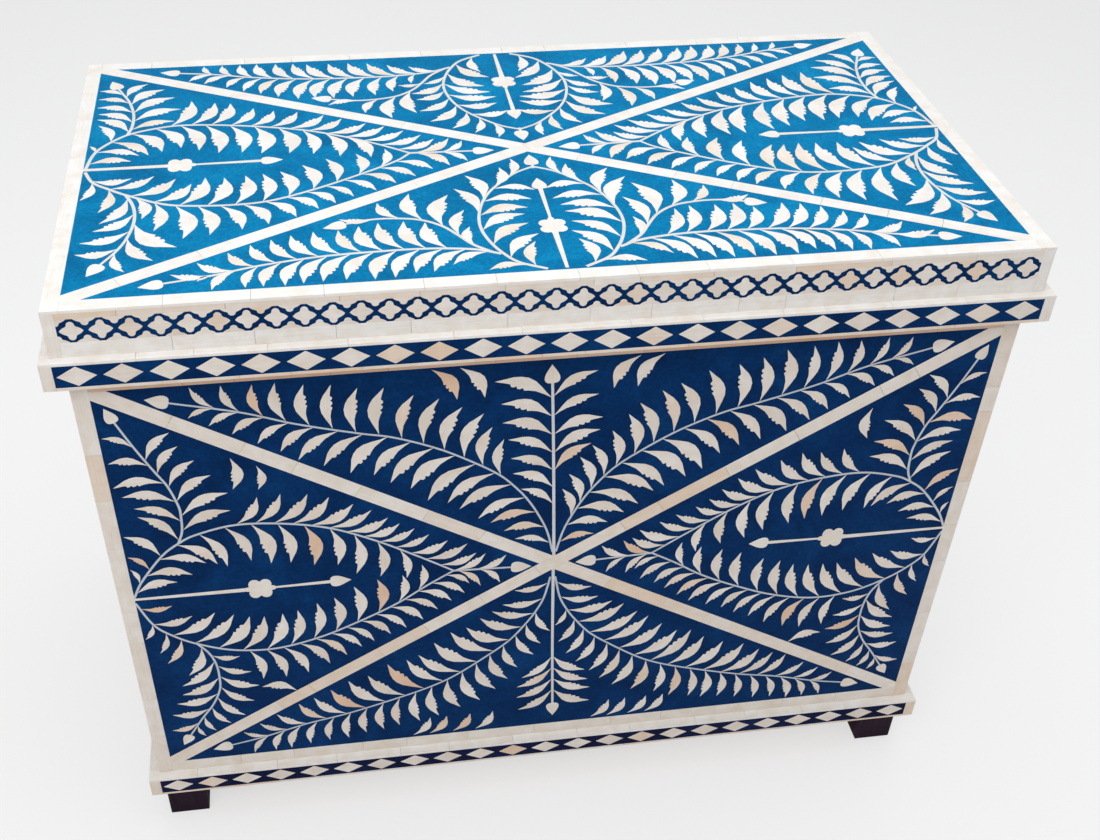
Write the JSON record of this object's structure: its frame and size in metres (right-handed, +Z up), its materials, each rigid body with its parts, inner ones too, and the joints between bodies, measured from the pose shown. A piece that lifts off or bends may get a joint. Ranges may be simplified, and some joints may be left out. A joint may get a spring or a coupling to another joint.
{
  "type": "dowry chest",
  "caption": "Free-standing storage chest with a hinged lid, inlaid all round with cut bone foliage, straps and diamond bands in blue resin, on square feet.",
  "frame": {"origin": "on the floor under the middle of the chest", "axes": "+X along the width to the right as seen from the front, +Y from the front to the back, +Z up"},
  "size_m": [1.004, 0.566, 0.769],
  "materials": {
    "carcass_wood": "oiled",
    "dark_wood": "stained satin",
    "bone": "polished bone",
    "blue_resin": "polished resin",
    "brass": "satin"
  },
  "bodies": {
    "chest": {"front_board": "carcass_wood", "right_board": "carcass_wood", "back_board": "carcass_wood", "left_board": "carcass_wood", "bottom_board": "carcass_wood", "plinth_front": "carcass_wood", "plinth_right": "carcass_wood", "plinth_back": "carcass_wood", "plinth_left": "carcass_wood", "foot_front_right": "dark_wood", "foot_front_left": "dark_wood", "foot_back_right": "dark_wood", "foot_back_left": "dark_wood", "front_border": "bone", "front_straps": "bone", "front_field": "blue_resin", "right_border": "bone", "right_straps": "bone", "right_field": "blue_resin", "back_border": "bone", "back_straps": "bone", "back_field": "blue_resin", "left_border": "bone", "left_straps": "bone", "left_field": "blue_resin", "plinth_end_blocks": "bone", "plinth_beads": "bone", "plinth_diamonds": "bone", "plinth_band": "blue_resin", "plinth_ledge": "bone", "hinge_body_leaf_left": "brass", "hinge_body_leaf_right": "brass", "hinge_pins": "brass"},
    "lid": {"lid_board": "carcass_wood", "lid_rail_front": "carcass_wood", "lid_rail_right": "carcass_wood", "lid_rail_back": "carcass_wood", "lid_rail_left": "carcass_wood", "lid_moulding_front": "carcass_wood", "lid_moulding_right": "carcass_wood", "lid_moulding_back": "carcass_wood", "lid_moulding_left": "carcass_wood", "top_border": "bone", "top_straps": "bone", "top_field": "blue_resin", "lid_stiles": "bone", "lid_lower_strips": "bone", "lid_upper_strips": "bone", "lid_chain_band": "blue_resin", "ledge_end_blocks": "bone", "ledge_beads": "bone", "ledge_diamonds": "bone", "ledge_band": "blue_resin", "lid_ledge": "bone", "hinge_lid_leaf_left": "brass", "hinge_lid_leaf_right": "brass"}
  },
  "joints": [
    {"name": "lid_hinge", "type": "hinge", "parent": "chest", "child": "lid", "pos_m": [0, 0.2679, 0.687], "axis": [-1, 0, 0], "range_deg": [0, 104]}
  ]
}
